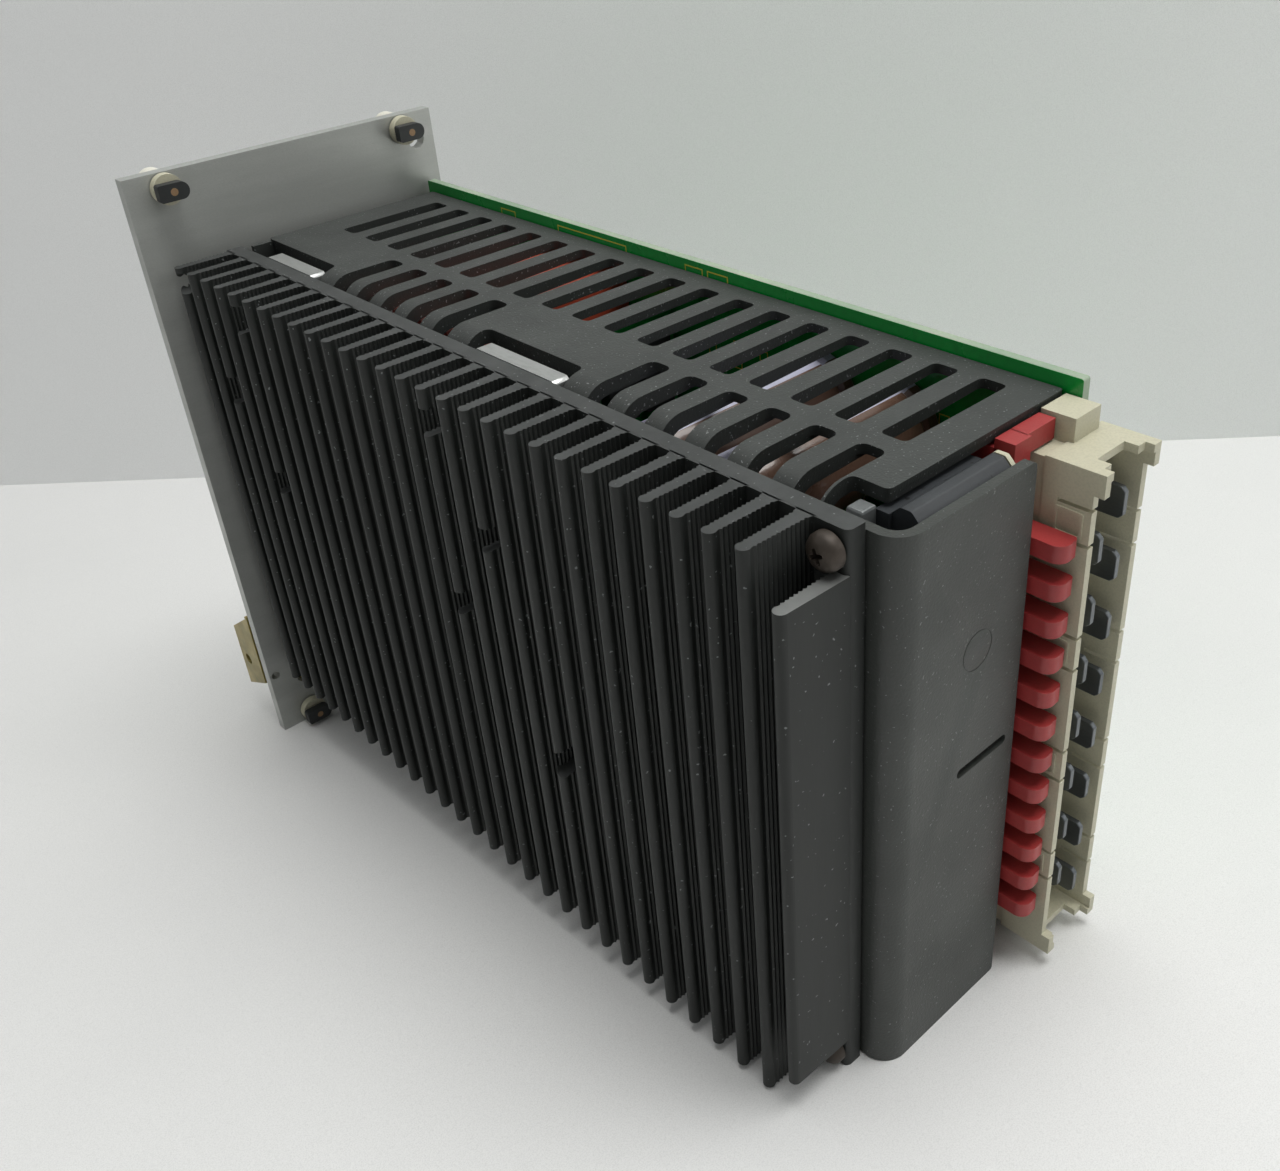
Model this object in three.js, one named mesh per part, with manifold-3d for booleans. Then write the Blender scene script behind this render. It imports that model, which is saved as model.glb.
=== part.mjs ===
// Plug-in servo drive: a 3U, 13HP Eurocard module with a side heatsink, a vent grille
// above and below, a rear shell, a 15-blade rear connector and a front panel that is
// held in its rack by four quarter-turn fasteners.
//
// Frame, millimetres: +X towards the heatsink, +Y towards the rear connector, +Z up.
// The part functions measure X from the panel's middle, Y from the panel's rear face
// and Z from the panel's lower edge. The whole group is then moved back along Y, so
// that the origin is the middle of the module's footprint.

import * as THREE from 'three';
import { mergeVertices } from 'three/addons/utils/BufferGeometryUtils.js';
import Module from 'manifold-3d';

const wasm = await Module();
wasm.setup();

// ---------- driving dimensions ----------
const GAP = 0.3;                 // clearance between touching pieces
const PANEL_W = 65.7;            // 13 x 5.08 less the rack's play
const PANEL_H = 128.4;
const PANEL_T = 2.5;
const MID_Z = PANEL_H / 2;

const PCB_T = 1.6;
const PCB_H = 100;
const PCB_Y0 = 1;
const PCB_Y1 = 161;
const PCB_FACE = -29.05;         // component face of the circuit board

const BODY_H = 96;               // height of heatsink and covers
const BODY_Z0 = MID_Z - BODY_H / 2;
const BODY_Z1 = MID_Z + BODY_H / 2;
const SINK_IN = 15.15;           // inner face of the heatsink's plate
const SINK_PLATE = 3.2;
const FIN_COUNT = 29;
const FIN_PITCH = 5.53;
const FIN_T = 2.2;
const FIN_TIP = 29.4;
const END_FIN_CUT = 6.2;         // the last fin is shorter at each end, to clear a screw
const ACCESS_R = 2.5;            // drilled ways through the fins to the screws behind them

const GRILLE_T = 2;
const GRILLE_Y0 = 2.9;
const GRILLE_Y1 = 158.3;
const GRILLE_X0 = PCB_FACE + GAP;
const GRILLE_X1 = 14.65;
const CURL_R = 5;
const CURL_DROP = 9;
const SLOT_COUNT = 18;
const SLOT_PITCH = 8.08;
const SLOT_W = 4.4;
const SLOT_Y0 = 10.3;
const LONG_SLOT = [-24.85, -2.85];
const SHORT_SLOT_X0 = 0.55;
const SHORT_SLOTS = [3, 4, 5, 6, 7, 12, 13, 14, 15, 16, 17];

const SHELL_T = 1.6;             // rear shell
const SHELL_X0 = -11.85;
const SHELL_X1 = 14.75;
const SHELL_Y0 = 153.2;
const SHELL_Y1 = 165.8;
const SHELL_R = 4;

const CONN_X0 = -30.85;          // rear connector
const CONN_X1 = -17.75;
const CONN_H = 88;
const CONN_EAR_H = 95;
const CONN_Y0 = 162.7;
const CONN_FLOOR = 164.2;
const CONN_Y1 = 170.7;
const CONN_LIP = 172.2;
const CONN_WALL = 1.2;
const BLADE_PITCH = 10.16;
const BLADE_ROW = 5.08;
const BLADE_W = 4.8;
const BLADE_T = 0.9;
const BLADE_TIP = 170.4;

const COMB_PITCH = 6;            // coding comb beside the connector
const COMB_TABS = 12;
const COMB_TAB_T = 2.7;

const FASTENER_X = 25.4;         // 50.8 between the fasteners across the panel
const FASTENER_Z = 61.25;        // 122.5 between them down the panel
const CAM_REACH = 2.9;             // from the shaft's axis to either end of the cam
const CAM_H = 3.2;
const COLLAR_Y1 = 2;
const CAM_Y = [2.7, 4.5];

const FRONT_Y = -14;             // furthest point in front of the panel
const CENTRE_Y = (FRONT_Y + CONN_LIP) / 2;

// ---------- materials ----------
const paint = (color, roughness, metalness = 0) =>
  new THREE.MeshStandardMaterial({ color, roughness, metalness });

const SATIN_ALUMINIUM = () => paint(0xa9aba6, 0.42, 0.8);
const BLACK_ANODISED = () => paint(0x2b2d2d, 0.55, 0.3);
const BLACK_PLASTIC = () => paint(0x333537, 0.62);
const BOARD_GREEN = () => paint(0x11733a, 0.38);
const IVORY = () => paint(0xd6d2c0, 0.5);
const BLADE_METAL = () => paint(0x6f7374, 0.4, 0.85);
const COMB_RED = () => paint(0xb3403c, 0.5);
const RAW_ALUMINIUM = () => paint(0xc2c2bd, 0.38, 0.9);
const BRONZE = () => paint(0x6b5a4a, 0.45, 0.7);
const CHROMATE = () => paint(0x9a8748, 0.42, 0.8);
const CAPACITOR_RED = () => paint(0xa84a35, 0.55);
const SLEEVE_BROWN = () => paint(0x4a3a33, 0.45);
const DARK_STEEL = () => paint(0x3a3c3b, 0.45, 0.6);
const TRANSISTOR_BLACK = () => paint(0x1f2021, 0.6);

// ---------- geometry helpers ----------
function outline(points) {
  return new THREE.Shape(points.map(([x, y]) => new THREE.Vector2(x, y)));
}

function box(x0, x1, y0, y1, z0, z1) {
  const geometry = new THREE.BoxGeometry(x1 - x0, y1 - y0, z1 - z0);
  return geometry.translate((x0 + x1) / 2, (y0 + y1) / 2, (z0 + z1) / 2);
}

// An outline in X and Y, raised along Z.
function raiseZ(shape, z0, z1) {
  const options = { depth: z1 - z0, bevelEnabled: false, curveSegments: 6 };
  return new THREE.ExtrudeGeometry(shape, options).translate(0, 0, z0);
}

// An outline in X and Z, drawn out along Y.
function drawY(shape, y0, y1, curveSegments = 6) {
  const options = { depth: y1 - y0, bevelEnabled: false, curveSegments };
  return new THREE.ExtrudeGeometry(shape, options).rotateX(Math.PI / 2).translate(0, y1, 0);
}

// An outline in Y and Z, drawn out along X.
function drawX(shape, x0, x1, curveSegments = 6) {
  const options = { depth: x1 - x0, bevelEnabled: false, curveSegments };
  const turn = new THREE.Matrix4().makeBasis(
    new THREE.Vector3(0, 1, 0), new THREE.Vector3(0, 0, 1), new THREE.Vector3(1, 0, 0));
  return new THREE.ExtrudeGeometry(shape, options).applyMatrix4(turn).translate(x0, 0, 0);
}

function circle(cx, cy, r) {
  const shape = new THREE.Shape();
  shape.absarc(cx, cy, r, 0, 2 * Math.PI, false);
  return shape;
}

// A bar with round ends, length over all along the first axis.
function obround(cx, cy, length, width) {
  const r = width / 2;
  const reach = length / 2 - r;
  const shape = new THREE.Shape();
  shape.absarc(cx + reach, cy, r, -Math.PI / 2, Math.PI / 2, false);
  shape.absarc(cx - reach, cy, r, Math.PI / 2, 1.5 * Math.PI, false);
  return shape;
}

// A bar from x0 to x1 that is round at x0 and square at x1.
function roundEnded(x0, x1, cy, width) {
  const r = width / 2;
  const shape = new THREE.Shape();
  shape.moveTo(x1, cy - r);
  shape.lineTo(x1, cy + r);
  shape.absarc(x0 + r, cy, r, Math.PI / 2, 1.5 * Math.PI, false);
  return shape;
}

function chamfered(x0, x1, y0, y1, c) {
  return outline([[x0 + c, y0], [x1 - c, y0], [x1, y0 + c], [x1, y1 - c],
    [x1 - c, y1], [x0 + c, y1], [x0, y1 - c], [x0, y0 + c]]);
}

function solid(geometry) {
  const bare = geometry.clone();
  bare.deleteAttribute('normal');
  bare.deleteAttribute('uv');
  const merged = mergeVertices(bare, 1e-5);
  return new wasm.Manifold(new wasm.Mesh({
    numProp: 3,
    vertProperties: new Float32Array(merged.attributes.position.array),
    triVerts: new Uint32Array(merged.index.array),
  }));
}

function carve(base, { add = [], cut = [] }) {
  let body = solid(base);
  for (const piece of add) body = body.add(solid(piece));
  for (const piece of cut) body = body.subtract(solid(piece));
  const mesh = body.getMesh();
  const geometry = new THREE.BufferGeometry();
  geometry.setAttribute('position', new THREE.BufferAttribute(new Float32Array(mesh.vertProperties), 3));
  geometry.setIndex(new THREE.BufferAttribute(new Uint32Array(mesh.triVerts), 1));
  geometry.computeVertexNormals();
  return geometry;
}

const drive = new THREE.Group();
drive.position.set(0, -CENTRE_Y, 0);

function place(name, geometry, material) {
  const mesh = new THREE.Mesh(geometry, material);
  mesh.name = name;
  drive.add(mesh);
  return mesh;
}

const FASTENERS = [
  ['top_sink', FASTENER_X, MID_Z + FASTENER_Z],
  ['top_board', -FASTENER_X, MID_Z + FASTENER_Z],
  ['low_sink', FASTENER_X, MID_Z - FASTENER_Z],
  ['low_board', -FASTENER_X, MID_Z - FASTENER_Z],
];

// ---------- front panel and what it carries ----------
const DSUB = { x: 16.4, z: 15, flange: [29.8, 12.5], cutout: [20.6, 11.4], screws: 25 };
const LED = { x: -12.85, z: 104, r: 1.5 };
const PIN_HOLE = { x: -28.6, z: 122.7, r: 1.9 };
const EDGE_HOLE = { x: 31.35, z: 15.3, r: 1 };

function frontPanel() {
  const [cutW, cutH] = DSUB.cutout;
  const holes = FASTENERS.map(([, x, z]) => circle(x, z, 1.9));
  holes.push(circle(PIN_HOLE.x, PIN_HOLE.z, PIN_HOLE.r));
  holes.push(circle(EDGE_HOLE.x, EDGE_HOLE.z, EDGE_HOLE.r));
  holes.push(circle(LED.x, LED.z, LED.r + GAP));
  holes.push(chamfered(DSUB.x - cutW / 2, DSUB.x + cutW / 2, DSUB.z - cutH / 2, DSUB.z + cutH / 2, 2));
  const side = PANEL_W / 2;
  const face = outline([[-side, 0], [side, 0], [side, PANEL_H], [-side, PANEL_H]]);
  face.holes = holes;
  const blind = [-1, 1].map((end) =>
    drawY(circle(DSUB.x + (end * DSUB.screws) / 2, DSUB.z, 1.5), -PANEL_T - 1, -0.8, 4));
  place('front_panel', carve(drawY(face, -PANEL_T, 0, 5), { cut: blind }), SATIN_ALUMINIUM());
}

// Each fastener is a collar on the panel, and a slotted knob whose shaft turns a cam.
const KNOB_R = 2.85;
const SHAFT_R = 0.8;

function fasteners() {
  for (const [where, x, z] of FASTENERS) {
    const ring = circle(x, z, 2.85);
    ring.holes = [circle(x, z, SHAFT_R + 0.5)];
    place(`collar_${where}`, drawY(ring, GAP, COLLAR_Y1, 6), IVORY());

    const knob = carve(drawY(circle(x, z, KNOB_R), -6.6, -PANEL_T - GAP, 6), {
      add: [drawY(circle(x, z, SHAFT_R), -4, CAM_Y[1], 4)],
      cut: [box(x - 4, x + 4, -7, -5.6, z - 0.5, z + 0.5)],
    });
    place(`knob_${where}`, knob, IVORY());

    const arm = roundEnded(x - CAM_REACH, x + CAM_REACH, z, CAM_H);
    arm.holes = [circle(x, z, SHAFT_R + 0.25)];
    place(`cam_${where}`, drawY(arm, CAM_Y[0], CAM_Y[1], 5), DARK_STEEL());
  }
}

// Service connector on the panel, with the chromated shield bracket under its outer jack post.
function serviceConnector() {
  const [flangeW, flangeH] = DSUB.flange;
  const { x, z } = DSUB;
  const front = -PANEL_T - GAP;
  const screwX = [x - DSUB.screws / 2, x + DSUB.screws / 2];
  const plate = chamfered(x - flangeW / 2, x + flangeW / 2, z - flangeH / 2, z + flangeH / 2, 1);
  plate.holes = screwX.map((sx) => circle(sx, z, 1.5));
  const shellOuter = outline([[x - 8.4, z + 4.2], [x - 7, z - 4.2], [x + 7, z - 4.2], [x + 8.4, z + 4.2]]);
  const shellInner = outline([[x - 7.9, z + 3.7], [x - 6.6, z - 3.7], [x + 6.6, z - 3.7], [x + 7.9, z + 3.7]]);
  const shell = carve(drawY(plate, front - 1, front, 4), {
    add: [drawY(shellOuter, front - 6, front - 0.5)],
    cut: [drawY(shellInner, front - 7, front - 1)],
  });
  place('service_shell', shell, CHROMATE());

  const insert = outline([[x - 7.5, z + 3.3], [x - 6.25, z - 3.3], [x + 6.25, z - 3.3], [x + 7.5, z + 3.3]]);
  place('service_insert', drawY(insert, front - 5.4, front - 1 - GAP), BLACK_PLASTIC());

  screwX.forEach((sx, i) => {
    const seat = i === 0 ? front - 1 - GAP : front - 2 - 2 * GAP;
    const hex = new THREE.CylinderGeometry(2.4, 2.4, 3.6, 6).translate(sx, seat - 1.8, z);
    const post = carve(hex, {
      add: [drawY(circle(sx, z, 1.1), seat - 1, -1.1, 4)],
      cut: [drawY(circle(sx, z, 1), seat - 4, seat - 1.2, 4)],
    });
    place(`jack_post_${i + 1}`, post, BLADE_METAL());
  });
}

const BRACKET = { foot: 6.6, t: 1, z0: 11.6, z1: 30, outZ0: 6.9, outZ1: 23.4 };

function shieldBracket() {
  const edge = PANEL_W / 2 - 0.1;
  const back = -PANEL_T - GAP - 1 - GAP;
  const leg = outline([[back, BRACKET.z0], [back, BRACKET.z1],
    [FRONT_Y, BRACKET.outZ1], [FRONT_Y, BRACKET.outZ0]]);
  leg.holes = [obround(FRONT_Y + 3.6, 15.6, 2.6, 2.6)];
  const bracket = carve(box(edge - BRACKET.foot, edge, back - BRACKET.t, back, BRACKET.z0, BRACKET.z1), {
    add: [drawX(leg, edge - BRACKET.t, edge)],
    cut: [drawY(circle(DSUB.x + DSUB.screws / 2, DSUB.z, 1.5), back - 2, back + 1, 4)],
  });
  place('shield_bracket', bracket, CHROMATE());
}

function statusLed() {
  const profile = [[0, 0], [LED.r, 0], [LED.r, 4.6], [LED.r * 0.75, 5.6], [0, 6]]
    .map(([r, h]) => new THREE.Vector2(r, h));
  const lens = new THREE.LatheGeometry(profile, 12).rotateX(Math.PI);
  place('status_led', lens.translate(LED.x, 0.8, LED.z), paint(0x2f9a4a, 0.25));
}

// ---------- circuit board and what stands on it ----------
function circuitBoard() {
  const face = outline([[PCB_Y0, MID_Z - PCB_H / 2], [PCB_Y1, MID_Z - PCB_H / 2],
    [PCB_Y1, MID_Z + PCB_H / 2], [PCB_Y0, MID_Z + PCB_H / 2]]);
  face.holes = RIVET_Z.map((z) => circle(RIVET_Y, z, 1.5));
  place('circuit_board', drawX(face, PCB_FACE - PCB_T, PCB_FACE, 4), BOARD_GREEN());
}

const FILM = { y0: 41.6, y1: 66, z0: 62, z1: 108.5, x1: 9.5 };
const CARD = { x0: -28.6, x1: -1, y0: 76.6, y1: 78.2, z0: 60, z1: 106 };
const CAN_R = 7.8;
const CAN_Y = [114.3, 130.5];
const CAN_Z = 98.6;
const CAN_X1 = 8.5;

function boardParts() {
  const film = chamfered(FILM.y0, FILM.y1, FILM.z0, FILM.z1, 1);
  place('film_capacitor', drawX(film, PCB_FACE + GAP, FILM.x1), CAPACITOR_RED());
  place('control_card', box(CARD.x0, CARD.x1, CARD.y0, CARD.y1, CARD.z0, CARD.z1), BOARD_GREEN());
  CAN_Y.forEach((y, i) => {
    const reach = CAN_X1 - PCB_FACE - GAP;
    const profile = [[0, 0], [CAN_R, 0], [CAN_R, reach - 1], [CAN_R - 1, reach], [0, reach]]
      .map(([r, h]) => new THREE.Vector2(r, h));
    const can = new THREE.LatheGeometry(profile, 20).rotateZ(-Math.PI / 2);
    place(`bus_capacitor_${i + 1}`, can.translate(PCB_FACE + GAP, y, CAN_Z), SLEEVE_BROWN());
  });
}

// ---------- rear connector ----------
const RIVET_Y = 158.4;
const RIVET_Z = [MID_Z + 44.5, MID_Z - 44.5];
const HOLDER_Y0 = 154.5;
const CONN_Z0 = MID_Z - CONN_H / 2;
const CONN_Z1 = MID_Z + CONN_H / 2;
const EAR_Z0 = MID_Z - CONN_EAR_H / 2;
const EAR_Z1 = MID_Z + CONN_EAR_H / 2;
const EAR_X1 = PCB_FACE + 6.2;
const EAR_Y = [158.7, 164.1];
const LIP_W = 1.6;
const LIP_H = 3.6;

function cornerLips() {
  const lips = [];
  for (const [a, b] of [[CONN_X0, CONN_X0 + LIP_W], [CONN_X1 - LIP_W, CONN_X1]]) {
    lips.push(box(a, b, CONN_Y1 - 0.5, CONN_LIP, CONN_Z0, CONN_Z0 + CONN_WALL));
    lips.push(box(a, b, CONN_Y1 - 0.5, CONN_LIP, CONN_Z1 - CONN_WALL, CONN_Z1));
  }
  for (const [a, b] of [[CONN_X0, CONN_X0 + CONN_WALL], [CONN_X1 - CONN_WALL, CONN_X1]]) {
    lips.push(box(a, b, CONN_Y1 - 0.5, CONN_LIP, CONN_Z0, CONN_Z0 + LIP_H));
    lips.push(box(a, b, CONN_Y1 - 0.5, CONN_LIP, CONN_Z1 - LIP_H, CONN_Z1));
  }
  return lips;
}

function connectorBody() {
  const cavity = box(CONN_X0 + CONN_WALL, CONN_X1 - CONN_WALL, CONN_FLOOR, CONN_LIP + 1,
    CONN_Z0 + CONN_WALL, CONN_Z1 - CONN_WALL);
  const endNotch = box(CONN_X0 + 3.2, CONN_X1 - 3.2, 168.7, CONN_LIP, CONN_Z0 - 1, CONN_Z1 + 1);
  const rivetHoles = RIVET_Z.map((z) => drawX(circle(RIVET_Y + 2.6, z, 1.5), PCB_FACE, EAR_X1 + 1, 4));
  const body = carve(box(CONN_X0, CONN_X1, CONN_Y0, CONN_Y1, CONN_Z0, CONN_Z1), {
    add: [
      box(PCB_FACE + GAP, EAR_X1, EAR_Y[0], EAR_Y[1], EAR_Z0, EAR_Z1),
      box(PCB_FACE + GAP, CONN_X1, HOLDER_Y0, CONN_Y0 + 0.5, EAR_Z0 + 7.5, EAR_Z1 - 7.5),
      ...cornerLips(),
    ],
    cut: [cavity, endNotch, ...rivetHoles],
  });
  place('connector_body', body, IVORY());
}

// Two rows, staggered by half a pitch: eight blades beside the board, then seven.
function connectorBlades() {
  const middle = (CONN_X0 + CONN_X1) / 2;
  let number = 0;
  for (const [row, count] of [[0, 8], [1, 7]]) {
    const x = middle + (row - 0.5) * BLADE_ROW;
    for (let i = 0; i < count; i += 1) {
      const z = MID_Z + ((count - 1) / 2 - i) * BLADE_PITCH;
      number += 1;
      const half = BLADE_W / 2;
      const lead = 0.6;
      const blade = outline([[CONN_FLOOR + GAP, z - half], [BLADE_TIP - lead, z - half],
        [BLADE_TIP, z - half + lead], [BLADE_TIP, z + half - lead], [BLADE_TIP - lead, z + half],
        [CONN_FLOOR + GAP, z + half]]);
      const name = `contact_blade_${String(number).padStart(2, '0')}`;
      place(name, drawX(blade, x - BLADE_T / 2, x + BLADE_T / 2), BLADE_METAL());
    }
  }
}

// Rivets hold the connector's ears to the board, with their heads behind the board.
function connectorRivets() {
  RIVET_Z.forEach((z, i) => {
    const head = drawX(circle(RIVET_Y, z, 2.4), PCB_FACE - PCB_T - GAP - 1, PCB_FACE - PCB_T - GAP, 5);
    const shank = drawX(circle(RIVET_Y, z, 1.1), PCB_FACE - PCB_T - 0.8, PCB_FACE - 0.1, 5);
    const rivet = carve(head, { add: [shank] });
    place(`connector_rivet_${i + 1}`, rivet, DARK_STEEL());
  });
}

// ---------- coding comb ----------
const COMB_X = [CONN_X1 + 0.5, -12.6];
const COMB_Y = [154.8, 159];
const COMB_HEAD = [104.8, 111.2];
const COMB_HEAD_X0 = -16.2;
const COMB_HEAD_Y1 = 161.9;
const COMB_TIP = 169.9;

// A recessed bar with a row of tabs, and a head that hooks round the connector's ear.
function codingComb() {
  const [x0, x1] = COMB_X;
  const tabs = [];
  for (let i = 0; i < COMB_TABS; i += 1) {
    const z = MID_Z + ((COMB_TABS - 1) / 2 - i) * COMB_PITCH;
    const tab = new THREE.Shape();
    tab.moveTo(x0, COMB_Y[1] - 0.5);
    tab.lineTo(x1 - 0.6, COMB_Y[1] - 0.5);
    tab.lineTo(x1 - 0.6, COMB_TIP - 1.9);
    tab.quadraticCurveTo(x1 - 0.7, COMB_TIP - 0.1, x1 - 2.5, COMB_TIP);
    tab.lineTo(x0, COMB_TIP - 0.2);
    tabs.push(raiseZ(tab, z - COMB_TAB_T / 2, z + COMB_TAB_T / 2));
  }
  const headY0 = GRILLE_Y1 + 0.4;
  const barZ = [BODY_Z0 + GRILLE_T + GAP, BODY_Z1 - GRILLE_T - GAP];
  const hook = box(EAR_X1 + 0.4, COMB_HEAD_X0 + 0.5, headY0, 161.3, CONN_Z1 + 0.5, COMB_HEAD[1]);
  const comb = carve(box(x0, x1, COMB_Y[0], COMB_Y[1], barZ[0], barZ[1]), {
    add: [box(COMB_HEAD_X0, x1, headY0, COMB_HEAD_Y1, COMB_HEAD[0], COMB_HEAD[1]), hook, ...tabs],
  });
  place('coding_comb', comb, COMB_RED());
}

// ---------- heatsink ----------
const SINK_Y0 = 3;
const ACCESS = [[14.7, 90.6], [26.2, 74.6], [26.2, 107.4], [87.1, 74.6], [87.1, 106.6], [98.1, 90.7],
  [112.6, 53.8]];

function heatsink() {
  const plateX1 = SINK_IN + SINK_PLATE;
  const shape = new THREE.Shape();
  shape.moveTo(SINK_IN, SINK_Y0);
  shape.lineTo(plateX1, SINK_Y0);
  for (let i = 0; i < FIN_COUNT; i += 1) {
    const rear = PCB_Y1 - (FIN_COUNT - 1 - i) * FIN_PITCH;
    const front = rear - FIN_T;
    shape.lineTo(plateX1, front);
    shape.lineTo(FIN_TIP - 0.5, front + 0.1);
    shape.lineTo(FIN_TIP, front + 0.5);
    shape.lineTo(FIN_TIP, rear - 0.5);
    shape.lineTo(FIN_TIP - 0.5, rear - 0.1);
    shape.lineTo(plateX1, rear);
  }
  shape.lineTo(SINK_IN, PCB_Y1);
  const ways = ACCESS.map(([y, z]) => drawX(circle(y, z, ACCESS_R), plateX1 + 0.3, FIN_TIP + 1, 4));
  const lastFin = PCB_Y1 - FIN_PITCH + 0.2;
  const endCuts = [BODY_Z0 - 1, BODY_Z1 - END_FIN_CUT].map((z) =>
    box(plateX1 + 0.3, FIN_TIP + 1, lastFin, PCB_Y1 + 1, z, z + END_FIN_CUT + 1));
  const screwHoles = SCREW_Z.map((z) => drawX(circle(SCREW_Y, z, 1.9), SINK_IN - 1, plateX1 + 1, 4));
  const sink = carve(raiseZ(shape, BODY_Z0, BODY_Z1), { cut: [...ways, ...endCuts, ...screwHoles] });
  place('heatsink', sink, BLACK_ANODISED());
}

const SCREW_Y = 158.3;
const SCREW_Z = [BODY_Z1 - 3.3, BODY_Z0 + 3.3];

function heatsinkScrews() {
  SCREW_Z.forEach((z, i) => {
    const seat = SINK_IN + SINK_PLATE + GAP;
    const profile = [[0, -3], [1.5, -3], [1.5, 0], [2.6, 0], [2.6, 1.1], [1.9, 2], [0, 2.3]]
      .map(([r, h]) => new THREE.Vector2(r, h));
    const screw = new THREE.LatheGeometry(profile, 16).rotateZ(-Math.PI / 2).translate(seat, SCREW_Y, z);
    place(`heatsink_screw_${i + 1}`, screw, BRONZE());
  });
}

// Aluminium spreaders lie on the heatsink's inner face and carry four power transistors; two more lie on
// the heatsink itself.
const SPREADERS = [['front', 12, 29.2], ['rear', 81, 101.2]];
const SPREADER_Z = [70, 111.8];
const SPREADER_X = [SINK_IN - 3.6, SINK_IN - 0.7];
const TRANSISTOR = { t: 4.8, w: 15.6, h: 17.5 };
const BARE_TRANSISTOR_Y = [112, 130];

function transistor(number, x1, y, z0) {
  const body = chamfered(y - TRANSISTOR.w / 2, y + TRANSISTOR.w / 2, z0, z0 + TRANSISTOR.h, 1);
  place(`power_transistor_${number}`, drawX(body, x1 - TRANSISTOR.t, x1), TRANSISTOR_BLACK());
}

function spreaders() {
  SPREADERS.forEach(([where, y0, y1], i) => {
    const plate = chamfered(y0, y1, SPREADER_Z[0], SPREADER_Z[1], 0.5);
    place(`spreader_${where}`, drawX(plate, SPREADER_X[0], SPREADER_X[1]), RAW_ALUMINIUM());
    transistor(2 * i + 1, SPREADER_X[0] - GAP, (y0 + y1) / 2, 72);
    transistor(2 * i + 2, SPREADER_X[0] - GAP, (y0 + y1) / 2, 91);
  });
  BARE_TRANSISTOR_Y.forEach((y, i) => transistor(i + 5, SINK_IN - GAP, y, 85));
}

// ---------- vent grilles ----------
// Section in X and Z: a flat top that curls down over the heatsink's edge.
function grilleSection() {
  const shape = new THREE.Shape();
  const bend = GRILLE_X1 - CURL_R;
  shape.moveTo(GRILLE_X0, BODY_Z1);
  shape.lineTo(GRILLE_X0, BODY_Z1 - GRILLE_T);
  shape.lineTo(bend, BODY_Z1 - GRILLE_T);
  shape.absarc(bend, BODY_Z1 - CURL_R, CURL_R - GRILLE_T, Math.PI / 2, 0, true);
  shape.lineTo(GRILLE_X1 - GRILLE_T, BODY_Z1 - CURL_DROP);
  shape.lineTo(GRILLE_X1, BODY_Z1 - CURL_DROP);
  shape.absarc(bend, BODY_Z1 - CURL_R, CURL_R, 0, Math.PI / 2, false);
  return shape;
}

function grille(name, mirrored) {
  const past = 1;
  const top = BODY_Z1 + past;
  const low = BODY_Z1 - CURL_DROP - past;
  const cuts = [
    box(GRILLE_X1 - 5.4, GRILLE_X1 + past, GRILLE_Y0 - past, 29.5, low, top),
    box(GRILLE_X1 - 5.8, GRILLE_X1 + past, 77, 101.5, low, top),
    box(GRILLE_X1 - 6.7, GRILLE_X1 + past, 151.6, GRILLE_Y1 + past, low, top),
  ];
  for (let i = 0; i < SLOT_COUNT; i += 1) {
    const y0 = SLOT_Y0 + i * SLOT_PITCH;
    const slot = chamfered(LONG_SLOT[0], LONG_SLOT[1], y0, y0 + SLOT_W, 0.7);
    cuts.push(raiseZ(slot, BODY_Z1 - GRILLE_T - past, top));
  }
  for (const i of SHORT_SLOTS) {
    const y0 = SLOT_Y0 + i * SLOT_PITCH;
    cuts.push(box(SHORT_SLOT_X0, GRILLE_X1 + past, y0, y0 + SLOT_W, BODY_Z1 - CURL_DROP + 2, top));
  }
  const geometry = carve(drawY(grilleSection(), GRILLE_Y0, GRILLE_Y1, 5), { cut: cuts });
  place(name, mirrored ? flipped(geometry) : geometry, BLACK_PLASTIC());
}

// The lower grille is the upper one mirrored about the module's mid height.
function flipped(geometry) {
  const mirror = geometry.clone().scale(1, 1, -1).translate(0, 0, 2 * MID_Z);
  const index = mirror.index.array;
  for (let i = 0; i < index.length; i += 3) {
    [index[i], index[i + 1]] = [index[i + 1], index[i]];
  }
  mirror.computeVertexNormals();
  return mirror;
}

// ---------- rear shell and what stands behind it ----------
function rearShell() {
  const inner = SHELL_R - SHELL_T;
  const shape = new THREE.Shape();
  shape.moveTo(SHELL_X1, SHELL_Y0);
  shape.absarc(SHELL_X1 - SHELL_R, SHELL_Y1 - SHELL_R, SHELL_R, 0, Math.PI / 2, false);
  shape.lineTo(SHELL_X0, SHELL_Y1);
  shape.lineTo(SHELL_X0, SHELL_Y1 - SHELL_T);
  shape.absarc(SHELL_X1 - SHELL_R, SHELL_Y1 - SHELL_R, inner, Math.PI / 2, 0, true);
  shape.lineTo(SHELL_X1 - SHELL_T, SHELL_Y0);
  const ventSlot = box(-9.9, 1.2, SHELL_Y1 - 3, SHELL_Y1 + 1, 66.3, 67.8);
  place('rear_shell', carve(raiseZ(shape, BODY_Z0 + 0.4, BODY_Z1 - 1.5), { cut: [ventSlot] }), BLACK_PLASTIC());
}

const CHOKE = { y0: 158.6, y1: 163.7, z0: 92, z1: 110.7, chamfer: 1.7, x0: -10, x1: 8.3, flange: 0.8 };

// The choke is a potted bar across the rear, closed at its inner end by a thin flange.
function filterChoke() {
  const section = chamfered(CHOKE.y0, CHOKE.y1, CHOKE.z0, CHOKE.z1, CHOKE.chamfer);
  place('filter_choke', drawX(section, CHOKE.x0, CHOKE.x1), TRANSISTOR_BLACK());
  const flangeX1 = CHOKE.x0 - GAP;
  place('choke_flange', drawX(section, flangeX1 - CHOKE.flange, flangeX1), IVORY());
}

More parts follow.
